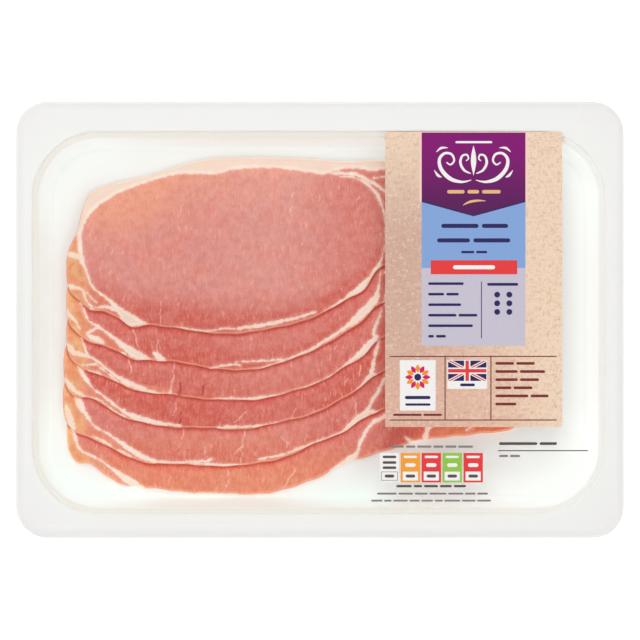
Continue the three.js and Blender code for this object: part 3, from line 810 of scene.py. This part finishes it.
# The lid: clear plastic film, drawn tight and welded to the flange all round, and cut off just
# inside the flange's edge. All that shows of it is a faint shine, stronger at a flat angle.
FILM_INSET = 1.1
FILM_RIM = 6
FILM_BEVEL = 0.05
film_bottom, film_top = (corner[2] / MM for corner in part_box("film"))
film_profile = np.array([
    (FILM_INSET + FILM_RIM, film_bottom), (FILM_INSET, film_bottom), (FILM_INSET, film_top - FILM_BEVEL),
    (FILM_INSET + FILM_BEVEL, film_top), (FILM_INSET + 0.3, film_top), (FILM_INSET + FILM_RIM, film_top),
])
film_rings = rounded_rings(OUTER_EDGES, OUTER_RADIUS, film_profile)
film_count, film_size = film_rings.shape[:2]
film_faces = grid_faces(film_count, film_size, closed=True).tolist()
film_faces.append(list(range((film_count - 1) * film_size, film_count * film_size)))
film_faces.append(list(range(film_size))[::-1])

film_finish, film_shader, film_place = new_material("clear_film")
film_tree = film_finish.node_tree
film_tree.nodes.remove(film_shader)
clear = film_place.node("BsdfTransparent", None, {"Color": (1, 1, 1, 1)})
gloss = 0.06 + film_place.noise(0.03, 0) * 0.05
shine = film_place.node("BsdfAnisotropic", None, {"Color": (1, 1, 1, 1), "Roughness": gloss})
grazing = film_place.node("Fresnel", None, {"IOR": 1.45})
lid_mix = film_place.node("MixShader", None, {0: grazing * 0.35, 1: clear, 2: shine})
film_place.feed(film_tree.nodes["Material Output"], {"Surface": lid_mix})
film = new_piece("lid_film", film_rings.reshape(-1, 3), film_faces, film_finish)
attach(film, "root")
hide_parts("film")


# The label: a sheet of speckled kraft paper stuck on the film. Where it lies over the meat it is
# painted darker and pinker, a painted shade of the meat showing through.
LABEL_THICKNESS = 0.09
(label_left, label_front, label_bottom), (label_right, label_back, _) = np.array(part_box("label")) / MM
label_top = label_bottom + LABEL_THICKNESS


def plates(outlines, bottom, thickness):
    """Points and faces of flat plates: each outline twice, as its lower and upper face, and its rim."""
    points, faces = [], []
    for outline in outlines:
        first, size = len(points), len(outline)
        for level in (bottom, bottom + thickness):
            points += np.column_stack([outline, np.full(size, level)]).tolist()
        faces.append([first + at for at in reversed(range(size))])
        faces.append([first + size + at for at in range(size)])
        for at in range(size):
            beside = (at + 1) % size
            faces.append([first + at, first + beside, first + size + beside, first + size + at])
    return points, faces


def on_label(places):
    """Places on the pack: millimetres to the right of the label's left edge, and down from its back
    edge. The outline is turned anticlockwise where its area, the sum of its corners' cross products,
    comes out below 0."""
    corners = np.array(places, float) * (1, -1) + (label_left, label_back)
    following = np.roll(corners, -1, axis=0)
    twice_area = (corners[:, 0] * following[:, 1] - following[:, 0] * corners[:, 1]).sum()
    return corners if twice_area > 0 else corners[::-1]


def block(left, high, right, low):
    """A rectangle from its four sides on the label."""
    return on_label([(left, high), (right, high), (right, low), (left, low)])


paper, paper_shader, paper_place = new_material("kraft_paper")
LABEL_WIDTH, LABEL_LENGTH = label_right - label_left, label_back - label_front
rightness = (paper_place.part("X") - label_left) * (1 / LABEL_WIDTH)
lowness = (label_back - paper_place.part("Y")) * (1 / LABEL_LENGTH)
# Painted show-through of the meat under the paper: darker and pinker at the left and lower part, and a
# lighter pink low down away from the right edge.
painted_show_through = rightness.step(0.95, 0.1) * lowness.step(-0.05, 0.4)
kraft = painted_show_through.mix(colour(247, 220, 193), colour(216, 177, 160))
kraft = (lowness.step(0.6, 0.95) * rightness.step(1.0, 0.6) * 0.6).mix(kraft, colour(237, 189, 164))
pulp = paper_place.noise(1.2, 5, 0.7)
hairs = paper_place.stretch(1, 0.5, 1).noise(1.1, 3, 0.6)
cross_hairs = paper_place.stretch(0.5, 1.1, 1).noise(1.0, 3, 0.6)
dark_speck = (hairs.step(0.52, 0.66) + cross_hairs.step(0.53, 0.67)) * 0.6
pale_speck = cross_hairs.step(0.44, 0.34) * 0.5 + hairs.step(0.42, 0.32) * 0.5
kraft = kraft.dim(0.9 + pulp * 0.2)
kraft = (dark_speck * 0.55).mix(kraft, colour(203, 157, 126))
kraft = (pale_speck * 0.65).mix(kraft, colour(252, 234, 216))
paper_place.feed(
    paper_shader,
    {"Base Color": kraft, "Roughness": 0.78 + pulp * 0.15, "Normal": (pulp + hairs * 0.5).bump(0.05, 0.6)},
)
label_outline = block(0, 0, LABEL_WIDTH, LABEL_LENGTH)
label_sheet = new_piece("label_sheet", *plates([label_outline], label_bottom, LABEL_THICKNESS), paper)
label_sheet.data.shade_flat()
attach(label_sheet, "root")
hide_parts("label")


# The print: flat layers of ink, each about a hundredth of a millimetre thick, laid over each other as
# spot colours are. Lines of small print are bars, one for each word.
INK = 0.012
INK_STEP = 0.02
INK_GAP = 0.003
INK_SHEEN = 0.12
DISC_SIDES = 20

# Each ink is its colour, the colour that shows through it, and how much of that shows.
KRAFT_MID = (226, 190, 165)
INKS = {
    "purple": ((136, 26, 118), (150, 56, 134), 0.15),
    "blue": ((137, 171, 225), KRAFT_MID, 0.1),
    "lilac": ((206, 200, 216), KRAFT_MID, 0.3),
    "red": ((237, 66, 68), KRAFT_MID, 0.06),
    "white": ((250, 248, 246), KRAFT_MID, 0.05),
    "blush": ((254, 216, 203), KRAFT_MID, 0.1),
    "navy": ((50, 44, 98), (120, 110, 150), 0.15),
    "brown": ((128, 50, 60), KRAFT_MID, 0.2),
    "gold": ((240, 190, 134), (190, 150, 110), 0.2),
    "orange": ((244, 156, 54), KRAFT_MID, 0.05),
    "magenta": ((228, 30, 102), KRAFT_MID, 0.05),
    "amber": ((252, 165, 62), (250, 200, 120), 0.1),
    "green": ((150, 204, 80), (180, 210, 130), 0.1),
    "grey": ((92, 84, 82), (150, 140, 135), 0.1),
    "pale grey": ((140, 132, 130), (180, 172, 168), 0.1),
}


def ink(name):
    """An ink: its colour, with the paper's fibres showing through a little, and a soft sheen. The
    banner's purple darkens from its top to its point."""
    tone, under = (colour(*shown) for shown in INKS[name][:2])
    show_through = INKS[name][2]
    made, shader, place = new_material(f"{name}_ink")
    shader.inputs["Specular IOR Level"].default_value = INK_SHEEN
    if name == "purple":
        highness = place.part("Y").step(label_back - 36, label_back - 4)
        tone = highness.mix(colour(92, 34, 92), tone)
    fibres = place.stretch(1, 0.4, 1).noise(1.8, 4, 0.7)
    mottle = place.noise(0.8, 3, 0.6)
    laid = (fibres.step(0.55, 0.75) * show_through).mix(tone, under).dim(0.95 + mottle * 0.1)
    inputs = {"Base Color": laid, "Roughness": 0.5 + mottle * 0.15, "Normal": fibres.bump(0.03, 0.4)}
    place.feed(shader, inputs)
    return made


inks = {name: ink(name) for name in INKS}


def stamp(name, ink_name, level, outlines, base=label_top):
    """One piece of print: the plates of one colour, at a level above the label or the film."""
    bottom = base + INK_GAP + level * INK_STEP
    printed = new_piece(name, *plates(outlines, bottom, INK), inks[ink_name])
    printed.data.shade_flat()
    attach(printed, "root")


def disc(right, down, radius):
    """A circle: centre + radius * (cos(turn), sin(turn))."""
    turn = np.arange(DISC_SIDES) * 2 * np.pi / DISC_SIDES
    return on_label(np.column_stack([right + radius * np.cos(turn), down + radius * np.sin(turn)]))


def ribbon(points):
    """A brush stroke along a smooth curve through (right, down, half width): the curve plus and minus
    half width times its normal."""
    curve = through(points, CURVE_STEPS)
    way = np.gradient(curve[:, :2], axis=0)
    normal = np.column_stack([-way[:, 1], way[:, 0]]) / np.linalg.norm(way, axis=1)[:, None]
    offset = normal * curve[:, 2:]
    return on_label(np.vstack([curve[:, :2] + offset, (curve[:, :2] - offset)[::-1]]))


def words(left, right, down, height, count, seed):
    """A line of print: round-ended bars of uneven length with even gaps between them."""
    lengths = np.random.default_rng(seed).uniform(0.6, 1.4, count)
    gap = height * 0.8
    lengths *= (right - left - gap * (count - 1)) / lengths.sum()
    starts = left + np.cumsum(lengths + gap) - lengths - gap
    half = height / 2
    turn = np.linspace(-np.pi / 2, np.pi / 2, 6)
    bars = []
    for start, length in zip(starts, lengths):
        right_end = np.column_stack([start + length - half + half * np.cos(turn), down + half * np.sin(turn)])
        left_end = np.column_stack([start + half - half * np.cos(turn), down - half * np.sin(turn)])
        bars.append(on_label(np.vstack([right_end, left_end])))
    return bars


def lines(*rows):
    """Several lines of print, each (left, right, down, height, word count), with its own draw."""
    bars = []
    for left, right, down, height, count in rows:
        bars += words(left, right, down, height, count, round(10 * down + left))
    return bars


# The banner: a field of purple ink that hangs from the label's back edge and ends in a point, over a
# blue and a lilac field. A pale trim is printed down its sides and a dark line along its foot.
BANNER_LEFT, BANNER_RIGHT = 15.6, 60
BANNER_MIDDLE = (BANNER_LEFT + BANNER_RIGHT) / 2
BANNER_SIDE, BANNER_POINT = 30, 36.1
BLUE_END, LILAC_END = 58.2, 91.5
TRIM = 0.9
stamp("blue_field", "blue", 0, [block(BANNER_LEFT, BANNER_SIDE - 1, BANNER_RIGHT, BLUE_END)])
stamp("lilac_field", "lilac", 0, [block(BANNER_LEFT, BLUE_END, BANNER_RIGHT, LILAC_END)])
stamp("banner_sides", "blush", 0, [
    block(BANNER_LEFT - TRIM, 0.2, BANNER_LEFT, BANNER_SIDE),
    block(BANNER_RIGHT, 0.2, BANNER_RIGHT + TRIM, BANNER_SIDE),
])
stamp("banner", "purple", 1, [on_label([
    (BANNER_LEFT, 0.3), (BANNER_RIGHT, 0.3), (BANNER_RIGHT, BANNER_SIDE),
    (BANNER_MIDDLE, BANNER_POINT), (BANNER_LEFT, BANNER_SIDE),
])])
EDGE_LINE = 0.5
stamp("banner_edge", "navy", 2, [on_label([
    (BANNER_LEFT, BANNER_SIDE - EDGE_LINE), (BANNER_MIDDLE, BANNER_POINT - EDGE_LINE),
    (BANNER_RIGHT, BANNER_SIDE - EDGE_LINE), (BANNER_RIGHT, BANNER_SIDE),
    (BANNER_MIDDLE, BANNER_POINT), (BANNER_LEFT, BANNER_SIDE),
])])


# The ornament on the banner: scrolls in white ink, the same on both sides of a leaf, with gold words
# and a swash under them. A point is its distance from the middle, its place down and half the width.
SCROLLS = [
    [(1, 20.6, 0.15), (5, 21.4, 0.5), (10, 20, 0.85), (13.8, 16, 0.8), (14.6, 11.8, 0.65),
     (12.4, 9.2, 0.55), (9.4, 9.6, 0.5), (8.3, 12.2, 0.42), (9.8, 14, 0.36), (11.6, 13, 0.25)],
    [(1.2, 17.8, 0.2), (4, 16.4, 0.5), (5.6, 13.4, 0.55), (4.9, 10.4, 0.45), (2.9, 9.8, 0.4),
     (2.2, 11.4, 0.3), (3.2, 12.4, 0.2)],
    [(13.6, 19.4, 0.1), (15.2, 18.6, 0.55), (16.8, 16.4, 0.1)],
    [(11, 6.8, 0.1), (13.8, 6.9, 0.5), (15.9, 8.6, 0.1)],
]
LEAF = [(0, 6, 0.05), (0, 9.5, 0.9), (0, 13.5, 1.1), (0, 18.6, 0.05)]
scrolls = [ribbon(np.array(LEAF) + (BANNER_MIDDLE, 0, 0))]
for side in (-1, 1):
    for scroll in SCROLLS:
        scrolls.append(ribbon(np.array(scroll) * (side, 1, 1) + (BANNER_MIDDLE, 0, 0)))
stamp("banner_scrolls", "white", 2, scrolls + lines((30, 45.8, 4.4, 0.9, 1)))
gold_swash = ribbon([(33.2, 31.4, 0.1), (36, 30, 0.5), (39.5, 29.4, 0.45), (43, 29.5, 0.1)])
stamp("banner_gold", "gold", 2, lines((26.5, 49.4, 25.6, 1.5, 3)) + [gold_swash])


# The names of the cut and the small print, in navy ink over the two fields, with one pip for each
# rasher. A bar of red ink with a white word lies where the fields meet.
stamp("red_bar", "red", 1, [block(19.5, 54.9, 56.5, 60.9)])
stamp("red_bar_word", "white", 2, lines((29, 47, 57.9, 1.7, 1)))
PIP_RADIUS = 1.25
pips = [disc(47.9 + 5.2 * column, 69.6 + 3.7 * row, PIP_RADIUS) for column in range(2) for row in range(3)]
note_ends = (33.6, 31.5, 32.5, 39.4, 37.5, 26)
notes = [(18.4, end, 64.9 + 4.5 * row, 1.1, 1 + row % 2) for row, end in enumerate(note_ends)]
title = [(24, 52.6, 40.2, 1.75, 2), (22.2, 53.5, 46.4, 1.75, 2), (32.5, 43.6, 51.4, 1.0, 2)]
rule = block(41, 64, 41.35, 88.3)
stamp("title_and_notes", "navy", 2, lines(*title, *notes, (43.6, 56.9, 65.2, 1.2, 1)) + pips + [rule])


# The ruled table at the label's foot, in brown ink: a badge with a rosette, the flag of the country
# and a block of small print. Badge and flag have a ground of white ink printed under them.
RULE = 0.45
TABLE_TOP, TABLE_FOOT = 95.8, 123
rules = [block(2, down, 73.3, down + RULE) for down in (TABLE_TOP, TABLE_FOOT)]
rules += [block(right, TABLE_TOP + RULE, right + RULE, TABLE_FOOT) for right in (25.4, 45)]
text_ends = (64, 68.4, 65.8, 63, 69.9, 56.1)
block_text = [(47.1, end, 99 + 3.48 * row, 1.15, 1 + (row < 5)) for row, end in enumerate(text_ends)]
stamp("ruled_print", "brown", 2, rules + lines(*block_text, (3.4, 24.3, 121, 0.9, 2)))

BADGE = (6.3, 97.6, 21.6, 119.2)
ROSETTE_AT = (13.95, 104.9)
PETALS = 12
FLAG_LEFT, FLAG_TOP, FLAG_RIGHT, FLAG_FOOT = 26.9, 97.8, 43.3, 106.5
stamp("badge_ground", "white", 1, [
    block(*BADGE),
    block(FLAG_LEFT - 0.3, FLAG_TOP - 0.3, FLAG_RIGHT + 0.3, FLAG_FOOT + 3.4),
])


def petal(number):
    """One petal of the rosette: a pointed oval, reach + half width * sin(pi * share) to its sides."""
    turn = 2 * np.pi * number / PETALS
    way, side = np.array([np.sin(turn), -np.cos(turn)]), np.array([np.cos(turn), np.sin(turn)])
    share = np.linspace(0, 1, 9)[:, None]
    spine = ROSETTE_AT + way * (1.9 + 3.6 * share)
    swelling = side * 0.95 * np.sin(np.pi * share)
    return on_label(np.vstack([spine + swelling, (spine - swelling)[-2:0:-1]]))


stamp("rosette_orange", "orange", 2, [petal(number) for number in range(0, PETALS, 2)])
stamp("rosette_magenta", "magenta", 2, [petal(number) for number in range(1, PETALS, 2)])
stamp("rosette_eye", "navy", 2, [disc(*ROSETTE_AT, 1.5)] + lines(
    (8.4, 19.4, 113.6, 1.4, 1), (8.6, 19.4, 116.6, 1, 1), (32, 38.4, 108.2, 1.2, 1)))


# The flag, in navy and red ink on its white ground: two blue triangles and one red stripe in each
# quarter, and the red cross between them.
FLAG_HALF = np.array([(FLAG_RIGHT - FLAG_LEFT) / 2, (FLAG_FOOT - FLAG_TOP) / 2])
FLAG_MIDDLE = np.array([FLAG_LEFT, FLAG_TOP]) + FLAG_HALF
WHITE_ARM, RED_ARM, UPPER_GAP, LOWER_GAP, STRIPE = 1.35, 0.75, 1.9, 0.45, 1.1
slope = FLAG_HALF[1] / FLAG_HALF[0]
inner = FLAG_HALF - WHITE_ARM
quarter_blue = [
    [(UPPER_GAP, 0), (inner[0], 0), (inner[0], (inner[0] - UPPER_GAP) * slope)],
    [(0, LOWER_GAP), (0, inner[1]), ((inner[1] - LOWER_GAP) / slope, inner[1])],
]
quarter_red = [(0, 0), (STRIPE, 0), (inner[1] / slope + STRIPE, inner[1]), (inner[1] / slope, inner[1])]
flag_blue, flag_red = [], []
for flip in ((1, 1), (1, -1), (-1, 1), (-1, -1)):
    for shape in quarter_blue:
        flag_blue.append(on_label(FLAG_MIDDLE + (np.array(shape) - FLAG_HALF) * flip))
    flag_red.append(on_label(FLAG_MIDDLE + (np.array(quarter_red) - FLAG_HALF) * flip))
middle_x, middle_y = FLAG_MIDDLE
flag_red += [
    block(middle_x - RED_ARM, FLAG_TOP, middle_x + RED_ARM, FLAG_FOOT),
    block(FLAG_LEFT, middle_y - RED_ARM, middle_x - RED_ARM, middle_y + RED_ARM),
    block(middle_x + RED_ARM, middle_y - RED_ARM, FLAG_RIGHT, middle_y + RED_ARM),
]
stamp("flag_blue", "navy", 2, flag_blue)
stamp("flag_red", "red", 2, flag_red)


# The film's own print, in front of the label: five cells of figures with their captions, and the
# line for the date. It is ink laid straight on the film.
CELL_LEFT, CELL_TOP, CELL_PITCH, CELL_WIDTH, CELL_HEIGHT = -2.3, 137.3, 8.95, 8.3, 12.6
CELL_INKS = ("white", "amber", "red", "green", "red")
BOX_HIGH, BOX_LOW, BOX_LINE = 8, 11.8, 0.2


def cell(number, inset=0, high=0, low=CELL_HEIGHT):
    """A block in one of the five cells, from its inset and its top and foot inside the cell."""
    left = CELL_LEFT + CELL_PITCH * number
    return block(left + inset, CELL_TOP + high, left + CELL_WIDTH - inset, CELL_TOP + low)


def cell_words(number, down, height, inset):
    """A bar of print across one of the five cells."""
    left = CELL_LEFT + CELL_PITCH * number
    return words(left + inset, left + CELL_WIDTH - inset, CELL_TOP + down, height, 1, number)


for tone in dict.fromkeys(CELL_INKS):
    cells = [cell(number) for number, cell_ink in enumerate(CELL_INKS) if cell_ink == tone]
    stamp(f"cells_{tone}", tone, 0, cells, film_top)
tinted = range(1, 5)
pale_print = [cell(number, 0.9, BOX_HIGH, BOX_LOW) for number in tinted]
pale_print += sum((cell_words(n, 1.7, 1.0, 1.3) + cell_words(n, 5.2, 1.6, 1.9) for n in tinted), [])
stamp("cells_figures", "white", 1, pale_print, film_top)
grey_print = sum((cell_words(number, 9.9, 1.3, 2.1) for number in range(5)), [])
grey_print += sum((cell_words(0, down, 1.1, 1.2) for down in (1.7, 4.1, 6.3)), [])
box_left, box_right = CELL_LEFT + 0.6, CELL_LEFT + CELL_WIDTH - 0.6
box_top, box_foot = CELL_TOP + BOX_HIGH, CELL_TOP + BOX_LOW
grey_print += [
    block(box_left, box_top, box_right, box_top + BOX_LINE),
    block(box_left, box_foot - BOX_LINE, box_right, box_foot),
    block(box_left, box_top + BOX_LINE, box_left + BOX_LINE, box_foot - BOX_LINE),
    block(box_right - BOX_LINE, box_top + BOX_LINE, box_right, box_foot - BOX_LINE),
    block(48.3, 136.1, 86.8, 136.55),
]
grey_print += lines((4.7, 34.6, 151.5, 1.0, 5), (48.7, 73.5, 133.3, 1.2, 2))
stamp("film_print", "grey", 2, grey_print, film_top)
small_print = lines(
    (2.1, 37.6, 134.6, 0.95, 6), (-3.5, 44, 154.7, 0.85, 7), (-6, 45.3, 157.7, 0.8, 9),
    (48.7, 57.7, 138.6, 0.95, 2),
)
stamp("film_small_print", "pale grey", 2, small_print, film_top)
